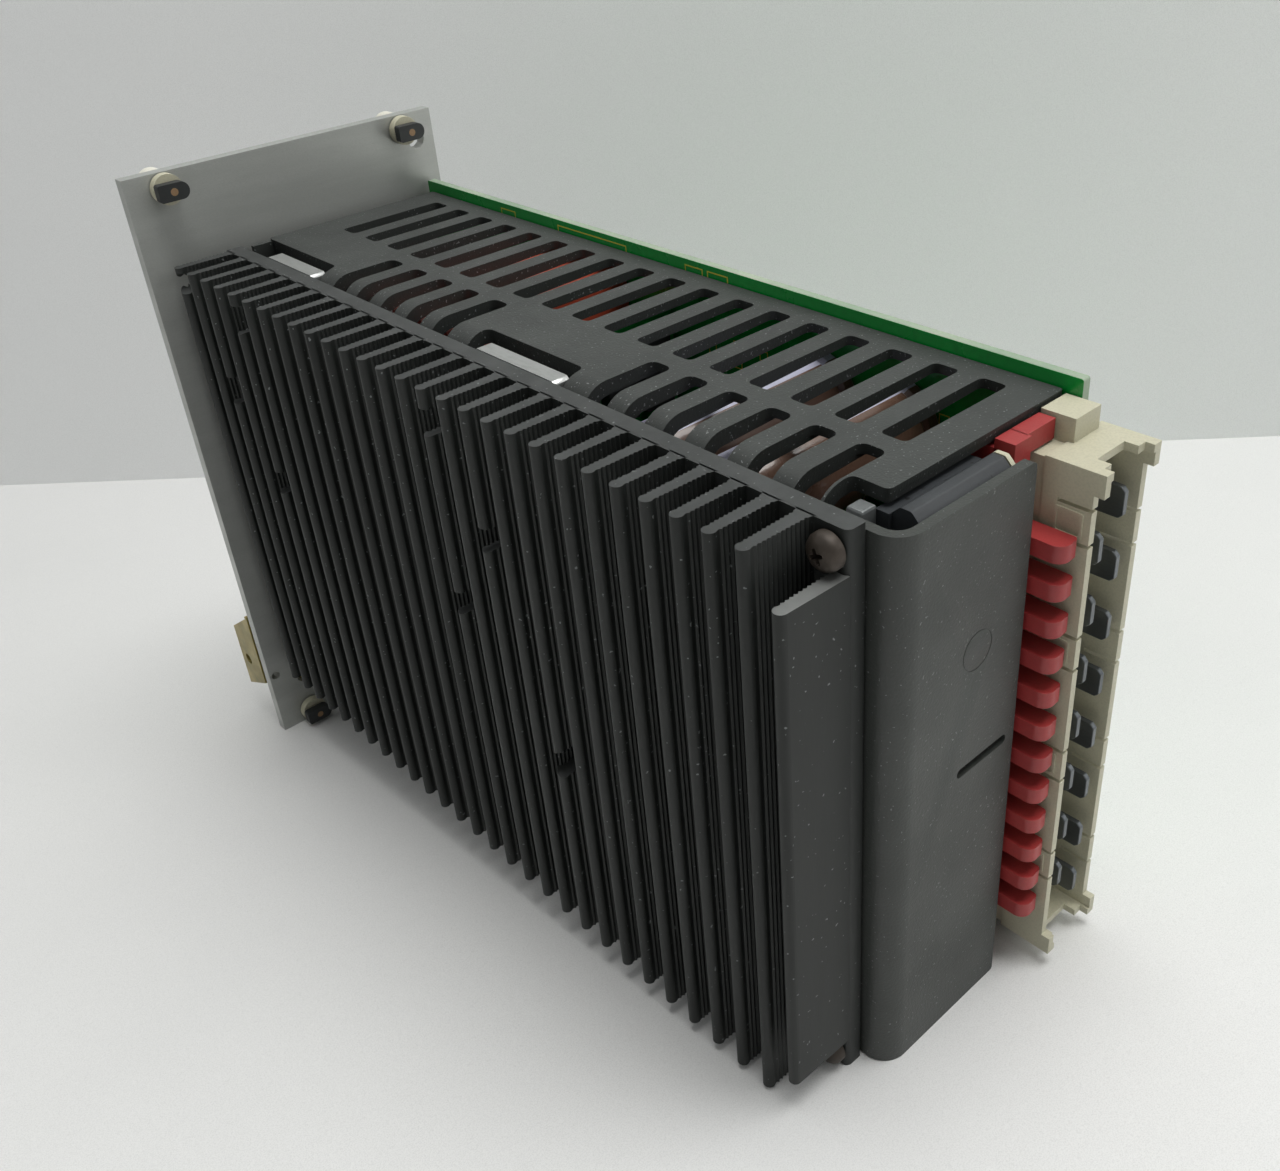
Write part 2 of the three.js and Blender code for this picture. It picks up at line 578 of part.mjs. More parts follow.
function rearBracket() {
  const wedge = outline([[8.9, 98], [12.4, 98], [12.4, 107], [11.4, 110.2], [8.9, 110.2]]);
  place('rear_bracket', drawY(wedge, 154.6, 157.2), RAW_ALUMINIUM());
}

frontPanel();
fasteners();
serviceConnector();
shieldBracket();
statusLed();
circuitBoard();
boardParts();
connectorBody();
connectorBlades();
connectorRivets();
codingComb();
heatsink();
heatsinkScrews();
spreaders();
grille('top_grille', false);
grille('bottom_grille', true);
rearShell();
filterChoke();
rearBracket();

export default drive;
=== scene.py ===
# The servo drive's looks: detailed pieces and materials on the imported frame.
# Lengths are in millimetres up to the point where a mesh is written, in metres.
import math
import random

import bmesh
import bpy
from mathutils import Matrix, Vector
from mathutils.geometry import tessellate_polygon


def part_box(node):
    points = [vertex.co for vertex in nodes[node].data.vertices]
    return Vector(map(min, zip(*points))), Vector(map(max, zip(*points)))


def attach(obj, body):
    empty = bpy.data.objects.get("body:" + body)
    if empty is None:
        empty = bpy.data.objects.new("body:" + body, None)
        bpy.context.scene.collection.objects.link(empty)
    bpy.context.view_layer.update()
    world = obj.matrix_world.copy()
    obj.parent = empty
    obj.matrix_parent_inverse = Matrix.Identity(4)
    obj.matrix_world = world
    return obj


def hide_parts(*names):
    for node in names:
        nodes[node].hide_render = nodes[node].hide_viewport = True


MM = 0.001
MODULE = "module"
SEED = 7
REAR_FACE = -79.1  # the front panel's rear face, in Y; lengths along the module count from it

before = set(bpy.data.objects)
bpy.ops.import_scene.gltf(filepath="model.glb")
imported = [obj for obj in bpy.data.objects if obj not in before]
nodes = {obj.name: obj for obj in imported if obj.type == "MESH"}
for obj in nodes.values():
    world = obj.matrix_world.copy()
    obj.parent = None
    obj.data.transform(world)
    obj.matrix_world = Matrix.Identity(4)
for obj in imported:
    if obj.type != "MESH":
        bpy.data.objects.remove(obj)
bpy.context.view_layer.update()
chance = random.Random(SEED)


def extent(name):
    lo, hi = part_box(name)
    return lo / MM, hi / MM


# ---------------------------------------------------------------- materials
def linear(r, g, b):
    def channel(c):
        c /= 255
        return c / 12.92 if c <= 0.04045 else ((c + 0.055) / 1.055) ** 2.4

    return (channel(r), channel(g), channel(b), 1)


def add_node(tree, kind, **inputs):
    made = tree.nodes.new("ShaderNode" + kind)
    for name, value in inputs.items():
        socket = made.inputs[name.replace("_", " ")]
        if isinstance(value, bpy.types.NodeSocket):
            tree.links.new(value, socket)
        else:
            socket.default_value = value
    return made


def noise(tree, place, scale, detail=3.0, rough=0.55):
    made = add_node(tree, "TexNoise", Vector=place, Scale=scale, Detail=detail, Roughness=rough)
    return made.outputs["Fac"]


def span(tree, value, low, high, out_low=0.0, out_high=1.0):
    made = add_node(tree, "MapRange", Value=value)
    made.inputs["From Min"].default_value = low
    made.inputs["From Max"].default_value = high
    made.inputs["To Min"].default_value = out_low
    made.inputs["To Max"].default_value = out_high
    return made.outputs["Result"]


def mixed(tree, factor, a, b):
    made = tree.nodes.new("ShaderNodeMix")
    made.data_type = "RGBA"
    sockets = {s.identifier: s for s in made.inputs}
    for key, value in (("Factor_Float", factor), ("A_Color", a), ("B_Color", b)):
        if isinstance(value, bpy.types.NodeSocket):
            tree.links.new(value, sockets[key])
        else:
            sockets[key].default_value = value
    return next(s for s in made.outputs if s.identifier == "Result_Color")


def product(tree, a, b):
    made = tree.nodes.new("ShaderNodeMath")
    made.operation = "MULTIPLY"
    for socket, value in zip(made.inputs, (a, b)):
        if isinstance(value, bpy.types.NodeSocket):
            tree.links.new(value, socket)
        else:
            socket.default_value = value
    return made.outputs["Value"]


def surface(name, base, second, rough, metal=0.0, patch=45, grain=2600, bump=0.12, stretch=(1, 1, 1),
            streak=None, speck=None, dust_and_top_light=None, coat=0.0, specular=0.5, depth=0.04):
    """Base and second colour in patches, with grain, and optional streaks, specks, and lighter up-facing
    faces (dust with painted top light).
    """
    made = bpy.data.materials.new(name)
    made.use_nodes = True
    tree = made.node_tree
    shader = tree.nodes["Principled BSDF"]
    coord = add_node(tree, "TexCoord")
    place = coord.outputs["Object"]
    drawn = add_node(tree, "Mapping", Vector=place, Scale=stretch).outputs["Vector"]
    patches = noise(tree, drawn, patch, 5.0)
    fine = noise(tree, drawn, grain, 2.0)
    colour = mixed(tree, span(tree, patches, 0.35, 0.65), base, second)
    darker = tuple(c * 0.72 for c in base[:3]) + (1,)
    colour = mixed(tree, span(tree, fine, 0.42, 0.75, 0.0, 0.55), colour, darker)
    if streak:
        tint, amount, scale = streak
        lines = noise(tree, drawn, scale, 6.0, 0.7)
        colour = mixed(tree, span(tree, lines, 0.5, 0.75, 0.0, amount), colour, tint)
    rough_mix = span(tree, patches, 0.3, 0.7, rough[0], rough[1])
    # up-facing faces made lighter: part dust, part painted light from above
    if dust_and_top_light:
        tint, amount = dust_and_top_light
        up = add_node(tree, "SeparateXYZ", Vector=coord.outputs["Normal"]).outputs["Z"]
        cloud = noise(tree, place, 130, 5.0, 0.7)
        dust_and_light_cover = product(tree, span(tree, up, 0.55, 0.95), span(tree, cloud, 0.3, 0.7, 0.45, 1.0))
        colour = mixed(tree, product(tree, dust_and_light_cover, amount), colour, tint)
    if speck:
        tint, low, scale = speck
        dots = noise(tree, place, scale, 1.0, 0.4)
        colour = mixed(tree, span(tree, dots, low, low + 0.03), colour, tint)
    tree.links.new(colour, shader.inputs["Base Color"])
    tree.links.new(rough_mix, shader.inputs["Roughness"])
    shader.inputs["Metallic"].default_value = metal
    shader.inputs["Coat Weight"].default_value = coat
    shader.inputs["Specular IOR Level"].default_value = specular
    relief = add_node(tree, "Bump", Height=fine, Strength=bump, Distance=depth * MM)
    tree.links.new(relief.outputs["Normal"], shader.inputs["Normal"])
    return made


FINE_DUST = linear(112, 115, 115)
# the anodised fins get lighter up-facing faces: dust and painted top light
ANODISED = surface("anodised_black", linear(35, 38, 36), linear(29, 32, 30), (0.46, 0.6), 0.25,
                   grain=3000, bump=0.25, speck=(FINE_DUST, 0.735, 1500),
                   dust_and_top_light=(linear(84, 86, 86), 0.6), stretch=(1, 1, 0.12))
CUT_METAL = surface("cut_aluminium", linear(178, 180, 178), linear(140, 142, 140), (0.3, 0.5), 0.8,
                    grain=2200, bump=0.4)
# the grille gets lighter up-facing faces: dust and painted top light
GRILLE = surface("grille_plastic", linear(44, 47, 45), linear(37, 40, 38), (0.42, 0.6), grain=2600,
                 bump=0.7, speck=(FINE_DUST, 0.7, 2300), dust_and_top_light=(linear(66, 69, 67), 0.4), depth=0.08)
SHELL = surface("shell_plastic", linear(56, 59, 56), linear(49, 52, 49), (0.42, 0.56), grain=2500,
                bump=0.75, speck=(FINE_DUST, 0.73, 2300), depth=0.09)
PANEL = surface("satin_aluminium", linear(178, 180, 176), linear(168, 170, 166), (0.38, 0.5), 0.55,
                patch=30, grain=2400, bump=0.06, stretch=(1, 1, 6),
                streak=(linear(158, 160, 156), 0.22, 160))
BOARD = surface("solder_resist", linear(8, 146, 56), linear(8, 132, 50), (0.22, 0.34), grain=900,
                bump=0.05, coat=0.25, streak=(linear(4, 112, 44), 0.5, 520))
LAMINATE = surface("board_edge", linear(160, 172, 152), linear(128, 150, 128), (0.5, 0.7), grain=2600,
                   bump=0.3)
IVORY = surface("ivory_moulding", linear(190, 187, 165), linear(182, 178, 155), (0.42, 0.55),
                grain=3000, bump=0.25, streak=(linear(178, 171, 148), 0.3, 90))
KNOB = surface("knob_ivory", linear(226, 223, 210), linear(215, 211, 196), (0.35, 0.45), grain=2600,
               bump=0.15)
BLADE = surface("tinned_blade", linear(112, 116, 119), linear(86, 90, 93), (0.3, 0.45), 0.85,
                grain=2500, bump=0.2, stretch=(1, 0.2, 1))
RED = surface("comb_red", linear(164, 54, 52), linear(148, 45, 46), (0.38, 0.5), grain=2600, bump=0.35,
              streak=(linear(136, 38, 42), 0.4, 240))
MILL = surface("mill_aluminium", linear(184, 186, 184), linear(164, 166, 165), (0.3, 0.46), 0.75,
               grain=1900, bump=0.35, stretch=(1, 0.25, 1), streak=(linear(150, 151, 150), 0.4, 300))
WORN = surface("worn_zinc", linear(126, 130, 130), linear(104, 108, 108), (0.45, 0.6), 0.5, grain=1900,
               bump=0.35)
BRONZE = surface("tarnished_screw", linear(70, 62, 55), linear(48, 43, 38), (0.42, 0.62), 0.5,
                 patch=260, grain=2200, bump=0.35)
STEEL = surface("dark_steel", linear(58, 60, 60), linear(44, 46, 46), (0.4, 0.55), 0.4, grain=2500,
                bump=0.25)
NICKEL = surface("nickel_plate", linear(186, 184, 176), linear(160, 158, 150), (0.25, 0.4), 0.9,
                 grain=2200)
CHROMATE = surface("yellow_chromate", linear(164, 146, 84), linear(128, 120, 78), (0.3, 0.48), 0.75,
                   patch=150, grain=1800, bump=0.2, streak=(linear(120, 128, 96), 0.5, 220))
RESIN = surface("dipped_resin", linear(196, 84, 60), linear(178, 72, 50), (0.35, 0.5), grain=2200,
                bump=0.3)
SLEEVE = surface("brown_sleeve", linear(112, 86, 72), linear(94, 71, 60), (0.24, 0.36), grain=2400,
                 bump=0.15, coat=0.3)
STRIPE = surface("lavender_mark", linear(196, 196, 214), linear(182, 182, 202), (0.3, 0.4), grain=2400,
                 bump=0.1)
EPOXY = surface("black_epoxy", linear(38, 39, 40), linear(30, 31, 32), (0.5, 0.65), grain=2600,
                bump=0.4)
FERRITE = surface("choke_black", linear(52, 55, 58), linear(44, 47, 50), (0.42, 0.56), grain=1500,
                  bump=0.6, speck=(linear(16, 16, 17), 0.7, 700))
YELLOW = surface("legend_yellow", linear(196, 186, 60), linear(180, 170, 54), (0.5, 0.6), grain=2000)
LAMP = surface("lamp_green", linear(60, 168, 92), linear(48, 150, 80), (0.15, 0.25), grain=1500,
               bump=0.05, coat=0.5)
TAN = surface("tan_pin", linear(152, 124, 92), linear(132, 106, 78), (0.4, 0.5), 0.3, grain=2200)


# ---------------------------------------------------------------- mesh tools
def rounded(points, radius, steps=4):
    """The closed outline with its corners rounded. radius is one number, or one per corner."""
    out = []
    count = len(points)
    for i in range(count):
        r = radius[i] if isinstance(radius, (list, tuple)) else radius
        here = Vector(points[i])
        a = Vector(points[i - 1]) - here
        b = Vector(points[(i + 1) % count]) - here
        room = 0.49 * min(a.length, b.length)
        a.normalize()
        b.normalize()
        angle = a.angle(b)
        if r <= 0 or angle > math.pi - 0.05:
            out.append(here)
            continue
        reach = min(r / math.tan(angle / 2), room)
        r = reach * math.tan(angle / 2)
        centre = here + (a + b).normalized() * (r / math.sin(angle / 2))
        start = here + a * reach - centre
        turn = math.pi - angle
        side = 1 if a.x * b.y - a.y * b.x < 0 else -1
        for k in range(steps + 1):
            out.append(centre + Matrix.Rotation(side * turn * k / steps, 2) @ start)
    return out


def rectangle(a0, a1, b0, b1):
    return [(a0, b0), (a1, b0), (a1, b1), (a0, b1)]


def ring(a, b, r, steps=24):
    turns = [k * math.tau / steps for k in range(steps)]
    return [(a + r * math.cos(turn), b + r * math.sin(turn)) for turn in turns]


def slab(outline, c0, c1, holes=(), cuts=(), warp=None, into=None):
    """A closed flat piece between levels c0 and c1. warp turns (a, b, c) into (x, y, z)."""
    bm = bmesh.new()
    loops = [[Vector((p[0], p[1], 0)) for p in loop] for loop in (outline, *holes)]
    flat = [v for loop in loops for v in loop]
    low = [bm.verts.new((v.x, v.y, c0)) for v in flat]
    high = [bm.verts.new((v.x, v.y, c1)) for v in flat]
    for triangle in tessellate_polygon(loops):
        bm.faces.new([low[i] for i in triangle])
        bm.faces.new([high[i] for i in reversed(triangle)])
    start = 0
    for loop in loops:
        for i in range(len(loop)):
            j = (i + 1) % len(loop)
            bm.faces.new([low[start + i], low[start + j], high[start + j], high[start + i]])
        start += len(loop)
    for a in cuts:
        bmesh.ops.bisect_plane(bm, geom=bm.verts[:] + bm.edges[:] + bm.faces[:], dist=1e-5,
                               plane_co=(a, 0, 0), plane_no=(1, 0, 0))
    bmesh.ops.recalc_face_normals(bm, faces=bm.faces[:])
    if warp:
        for v in bm.verts:
            v.co = Vector(warp(*v.co))
    if into is None:
        return bm
    join(into, bm)
    return into


def join(into, other):
    scratch = bpy.data.meshes.new("scratch")
    other.to_mesh(scratch)
    other.free()
    into.from_mesh(scratch)
    bpy.data.meshes.remove(scratch)


def along_x(a, b, c):
    return (c, a, b)


def along_y(a, b, c):
    return (a, c, b)


def lathe(profile, steps=40, axis="x", at=(0, 0, 0), into=None):
    """Turns (radius, height) points round an axis through at; the ends lie on the axis."""
    bm = bmesh.new()
    rows = []
    for r, h in profile:
        if r < 1e-6:
            rows.append([bm.verts.new((0, 0, h))])
        else:
            rows.append([bm.verts.new((p[0], p[1], h)) for p in ring(0, 0, r, steps)])
    for lower, upper in zip(rows, rows[1:]):
        for i in range(steps):
            j = (i + 1) % steps
            corners = [lower[k % len(lower)] for k in (i, j)] + [upper[k % len(upper)] for k in (j, i)]
            face = list(dict.fromkeys(corners))
            if len(face) > 2:
                bm.faces.new(face)
    bmesh.ops.recalc_face_normals(bm, faces=bm.faces[:])
    turn = {"x": along_x, "y": along_y}[axis]
    for v in bm.verts:
        v.co = Vector(turn(*v.co)) + Vector(at)
    bmesh.ops.recalc_face_normals(bm, faces=bm.faces[:])
    if into is None:
        return bm
    join(into, bm)
    return into


def finish_piece(bm, name, materials, body=MODULE, replaces=(), bevel=0.0, segments=2, smooth=35,
                 pick=None):
    """Writes the mesh in metres as an object riding on the body; pick gives a face its material number."""
    for v in bm.verts:
        v.co *= MM
    bm.normal_update()
    if pick:
        for face in bm.faces:
            face.material_index = pick(face.calc_center_median() / MM, face.normal)
    mesh = bpy.data.meshes.new(name)
    bm.to_mesh(mesh)
    bm.free()
    for material in materials if isinstance(materials, (list, tuple)) else [materials]:
        mesh.materials.append(material)
    mesh.shade_smooth()
    mesh.set_sharp_from_angle(angle=math.radians(smooth))
    piece = bpy.data.objects.new(name, mesh)
    bpy.context.collection.objects.link(piece)
    if bevel:
        soften(piece, bevel, segments)
    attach(piece, body)
    if replaces:
        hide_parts(*replaces)
    return piece


def soften(piece, width, segments=2):
    edge = piece.modifiers.new("edge", "BEVEL")
    edge.width = width * MM
    edge.segments = segments
    edge.limit_method = "ANGLE"
    edge.angle_limit = math.radians(38)
    edge.harden_normals = True
    edge.use_clamp_overlap = True


def dress(name, material, bevel=0.15, segments=2):
    """A CAD node keeps its shape and gets a material and soft edges."""
    piece = nodes[name]
    piece.data.materials.clear()
    piece.data.materials.append(material)
    weld = piece.modifiers.new("weld", "WELD")
    weld.merge_threshold = 0.002 * MM
    if bevel:
        soften(piece, bevel, segments)
        piece.modifiers["edge"].harden_normals = False
    return piece


# ---------------------------------------------------------------- heatsink
FIN_COUNT = 29
FIN_PITCH = 5.53
FIN_ROOT = 1.25
FIN_TIP = 1.0
PLATE = 3.2
TEETH = 12
TOOTH = 0.24
END_CUT = 6.2
# (fin, centre of the drilled way in z, radius, offset of its centre from the fin's middle in y)
WAYS = [(0, 109.2, 2.0, 0.8), (2, 90.6, 2.7, 0.2), (4, 74.6, 2.3, 0.2), (4, 107.5, 2.7, -0.2),
        (15, 74.6, 2.1, 0.1), (15, 106.7, 2.3, 0), (17, 90.9, 2.1, 0), (19, 53.8, 2.6, 1.2),
        (20, 53.8, 2.6, -3.5)]


def fin_section(x0, x1, middle, plain_rear=False):
    """The fin's outline in X and Y, with the fine ribs of an extruded fin on both faces."""
    length = x1 - x0
    side = []
    first = 0.9
    pitch = (length - first - 1.3) / TEETH
    for k in range(TEETH):
        for part, drop in ((0.0, 0.0), (0.35, TOOTH), (0.65, TOOTH)):
            x = first + pitch * (k + part)
            half = FIN_ROOT + (FIN_TIP - FIN_ROOT) * x / length
            side.append((x0 + x, half - drop))
    nose = FIN_TIP
    turns = [k * math.pi / 10 for k in range(11)]
    tip = [(x1 - nose + nose * math.sin(t), nose * math.cos(t)) for t in turns]
    root = [(x0, FIN_ROOT + 0.5), (x0 + 0.25, FIN_ROOT + 0.15), (x0 + 0.6, FIN_ROOT)]
    lower = [(x, -y) for x, y in reversed(root + side)]
    upper = [(x0, FIN_ROOT), (x1 - nose, FIN_TIP)] if plain_rear else root + side
    return [(x, middle + y) for x, y in upper + tip + lower]


def build_heatsink():
    lo, hi = extent("heatsink")
    inner, outer = lo.x + PLATE, hi.x
    bm = bmesh.new()
    slab(rounded(rectangle(lo.x, inner, lo.y, hi.y), [0.4, 0.4, 1.0, 0.4]), lo.z, hi.z, into=bm)
    for i in range(FIN_COUNT):
        rear = hi.y - (FIN_COUNT - 1 - i) * FIN_PITCH
        middle = rear - FIN_ROOT
        section = fin_section(inner - 0.3, outer, middle, i == FIN_COUNT - 1)
        ends = [lo.z, hi.z] if i < FIN_COUNT - 1 else [lo.z + END_CUT, hi.z - END_CUT]
        ways = sorted((w for w in WAYS if w[0] == i), key=lambda w: w[1])
        levels = [(ends[0], None)]
        for way in ways:
            if abs(way[3]) < 3:
                levels += [(way[1] - way[2], way), (way[1] + way[2], way)]
        levels.append((ends[1], None))
        for (z0, below), (z1, above) in zip(levels[::2], levels[1::2]):
            piece = slab(section, z0, z1)
            for v in piece.verts:
                way = above if abs(v.co.z - z1) < 1e-4 else below
                if way:
                    off = v.co.y - middle - way[3]
                    reach = math.sqrt(max(0.0, way[2] ** 2 - off ** 2))
                    v.co.z = way[1] - reach if way is above and abs(v.co.z - z1) < 1e-4 else way[1] + reach
            join(bm, piece)
    last = hi.y - 2 * FIN_ROOT - 0.1

    def pick(centre, normal):
        sawn = centre.y > last and centre.x > inner and abs(normal.z) > 0.9
        return 1 if sawn and lo.z + 1 < centre.z < hi.z - 1 else 0

    finish_piece(bm, "heatsink_detailed", [ANODISED, CUT_METAL], replaces=["heatsink"], bevel=0.08,
                 segments=1, smooth=28, pick=pick)


def build_heatsink_screws():
    for i in (1, 2):
        lo, hi = extent(f"heatsink_screw_{i}")
        y, z = (lo.y + hi.y) / 2, (lo.z + hi.z) / 2
        r = (hi.y - lo.y) / 2
        seat = hi.x - 2.3
        head = [(0, seat - 2.5), (1.4, seat - 2.5), (1.4, seat), (r, seat)]
        head += [(r, seat + 0.9), (r - 0.25, seat + 1.5), (r - 0.8, seat + 2.0), (1.1, hi.x), (0, hi.x)]
        screw = finish_piece(lathe(head, 48, "x", (0, y, z)), f"sink_screw_{i}", BRONZE,
                             replaces=[f"heatsink_screw_{i}"], smooth=40)
        tool = bmesh.new()
        tilt = Matrix.Rotation(math.radians(24), 3, "X")
        for wide, tall in ((2.7, 0.75), (0.75, 2.7)):
            outline = rounded(rectangle(-wide / 2, wide / 2, -tall / 2, tall / 2), 0.2)
            part = slab(outline, hi.x - 1.1, hi.x + 1, warp=along_x)
            for v in part.verts:
                taper = 0.6 if v.co.x < hi.x else 1.0
                v.co = tilt @ Vector((v.co.x, v.co.y * taper, v.co.z * taper)) + Vector((0, y, z))
            join(tool, part)
        carve(screw, tool)


def carve(piece, tool):
    """Cuts the tool's shape out of the piece, for good."""
    for v in tool.verts:
        v.co *= MM
    mesh = bpy.data.meshes.new("tool")
    tool.to_mesh(mesh)
    tool.free()
    cutter = bpy.data.objects.new("tool", mesh)
    bpy.context.collection.objects.link(cutter)
    cut = piece.modifiers.new("cut", "BOOLEAN")
    cut.operation = "DIFFERENCE"
    cut.solver = "EXACT"
    cut.use_self = True
    cut.object = cutter
    graph = bpy.context.evaluated_depsgraph_get()
    result = bpy.data.meshes.new_from_object(piece.evaluated_get(graph))
    piece.modifiers.remove(cut)
    piece.data = result
    bpy.data.objects.remove(cutter)


# ---------------------------------------------------------------- grilles
GRILLE_T = 1.5
LIP = 3.2
CURL_R = 5.0
SLOT_PITCH = 8.08
SLOT_W = 4.4
SLOT_START = 7.4
LONG_SLOT = (3.9, 25.9)
SHORT_SLOT = 29.3
LONG_SLOTS = 18
SHORT_SLOTS = [3, 4, 5, 6, 7, 12, 13, 14, 15, 16, 17]
GROUP_END = 152.5  # the rear end of the last group of slots, behind the panel


def build_grille(name, top):
    lo, hi = extent(name)
    bend = hi.x - CURL_R
    neutral = CURL_R - GRILLE_T / 2
    arc = neutral * math.pi / 2
    end = bend + arc + (hi.z - lo.z) - CURL_R
    face = hi.z if top else lo.z

    def starts(i):
        return lo.y + SLOT_START + i * SLOT_PITCH

    def open_slot(i):
        y0, y1 = starts(i), starts(i) + SLOT_W
        return [(end, y0), (lo.x + SHORT_SLOT, y0), (lo.x + SHORT_SLOT, y1), (end, y1)]

    notch_1, notch_2, rear = hi.x - 5.4, hi.x - 5.8, hi.x - 6.7
    points, radii = [], []

    def corner(x, y, r):
        points.append((x, y))
        radii.append(r)

    corner(lo.x, lo.y, 0.6)
    corner(notch_1, lo.y, 0.8)
    corner(notch_1, REAR_FACE + 29.5, 1.3)
    corner(end, REAR_FACE + 29.5, 0.8)
    for group in (SHORT_SLOTS[:5], SHORT_SLOTS[5:]):
        for i in group:
            if i == 12:
                corner(end, REAR_FACE + 77, 0.8)
                corner(notch_2, REAR_FACE + 77, 1.3)
                corner(notch_2, REAR_FACE + 101.5, 1.3)
                corner(end, REAR_FACE + 101.5, 0.8)
            for k, (x, y) in enumerate(open_slot(i)):
                corner(x, y, 0.8 if k in (0, 3) else 1.3)
    corner(end, REAR_FACE + GROUP_END, 0.8)
    corner(rear, REAR_FACE + GROUP_END, 1.0)
    corner(rear, hi.y, 0.9)
    corner(lo.x, hi.y, 0.6)
    outline = rounded(points, radii, 5)
    slot_x = [lo.x + reach for reach in LONG_SLOT]
    holes = [rounded(rectangle(*slot_x, starts(i), starts(i) + SLOT_W), 0.95, 4) for i in range(LONG_SLOTS)]
    sign = 1 if top else -1

    def warp(a, b, c):
        depth = (GRILLE_T - c) * (1 + 0.6 * min(1, max(0, (a - bend + 4) / 4)))
        if a <= bend:
            x, drop = a, depth
        elif a <= bend + arc:
            t = (a - bend) / neutral
            r = CURL_R - depth
            x, drop = bend + r * math.sin(t), CURL_R - r * math.cos(t)
        else:
            x, drop = hi.x - depth, CURL_R + (a - bend - arc)
        return (x, b, face - sign * drop)

    cuts = [bend + arc * k / 8 for k in range(9)]
    bm = slab(outline, 0, GRILLE_T, holes, cuts, warp)
    bmesh.ops.recalc_face_normals(bm, faces=bm.faces[:])
    # stiffening lips under the free edges
    z0, z1 = sorted((face - sign * 0.4, face - sign * LIP))
    lips = ((lo.x + 3, notch_1 + 4, lo.y, lo.y + 1.2),
            (notch_1 - 1.2, notch_1, lo.y + 1, REAR_FACE + 29.5),
            (notch_2 - 1.2, notch_2, REAR_FACE + 77, REAR_FACE + 101.5))
    for x0, x1, y0, y1 in lips:
        slab(rectangle(x0 + 0.05, x1 - 0.05, y0 + 0.05, y1 - 0.05), z0, z1, into=bm)
    finish_piece(bm, name + "_detailed", GRILLE, replaces=[name], bevel=0.35, segments=3, smooth=40)


# ---------------------------------------------------------------- rear shell and choke
SHELL_T = 1.6
SHELL_R = 4.0


def build_rear_shell():
    lo, hi = extent("rear_shell")
    neutral = SHELL_R - SHELL_T / 2
    arc = neutral * math.pi / 2
    side = (hi.y - lo.y) - SHELL_R
    flat = side + arc
    end = flat + (hi.x - SHELL_R - lo.x)
    outline = rounded(rectangle(0, end, lo.z, hi.z), [0.5, 0.5, 0.9, 0.5])
    slot = rounded(rectangle(flat + 9.5, flat + 20.6, 66.3, 67.9), 0.7)
    mark = ring(flat + 12.3, 87, 3.1, 40)
    inner_mark = ring(flat + 12.3, 87, 2.95, 40)

    def warp(a, b, c):
        if a <= side:
            return (hi.x - c, lo.y + a, b)
        if a <= flat:
            t = (a - side) / neutral
            r = SHELL_R - c
            return (hi.x - SHELL_R + r * math.cos(t), hi.y - SHELL_R + r * math.sin(t), b)
        return (hi.x - SHELL_R - (a - flat), hi.y - c, b)

    cuts = [side + arc * k / 12 for k in range(13)]
    bm = slab(outline, 0, SHELL_T, [slot], cuts, warp)
    bmesh.ops.recalc_face_normals(bm, faces=bm.faces[:])
    shell = finish_piece(bm, "rear_shell_detailed", SHELL, replaces=["rear_shell"], bevel=0.4, segments=3,
                         smooth=40)
    groove = slab(mark, -0.5, 0.07, [inner_mark], warp=warp)
    bmesh.ops.recalc_face_normals(groove, faces=groove.faces[:])
    carve(shell, groove)


CHOKE_CORNER = 1.7


def build_choke():
    pieces = (("filter_choke", "choke_body", FERRITE), ("choke_flange", "choke_rim", IVORY))
    for name, made, material in pieces:
        lo, hi = extent(name)
        y0, y1, z0, z1 = lo.y + CHOKE_CORNER, hi.y - CHOKE_CORNER, lo.z + CHOKE_CORNER, hi.z - CHOKE_CORNER
        section = [(y0, lo.z), (y1, lo.z), (hi.y, z0), (hi.y, z1), (y1, hi.z), (y0, hi.z), (lo.y, z1),
                   (lo.y, z0)]
        bm = slab(rounded(section, 0.6), lo.x, hi.x, warp=along_x)
        if name == "filter_choke":
            # the lip on its forward edge, towards the grille
            lip = rectangle(lo.y - 1.6, lo.y + 0.5, hi.z - 6, hi.z - 1.1)
            slab(lip, lo.x + 0.5, hi.x + 0.6, warp=along_x, into=bm)
        finish_piece(bm, made, material, replaces=[name], bevel=0.2)


# ---------------------------------------------------------------- connector and coding comb
# the coding flaps cut into the connector's long walls
FLAP_W = 5.5
SLIT_W = 0.56
SLIT_DEPTH = 5.2
FLAP_PITCH = 20.32
FLAPS = 4


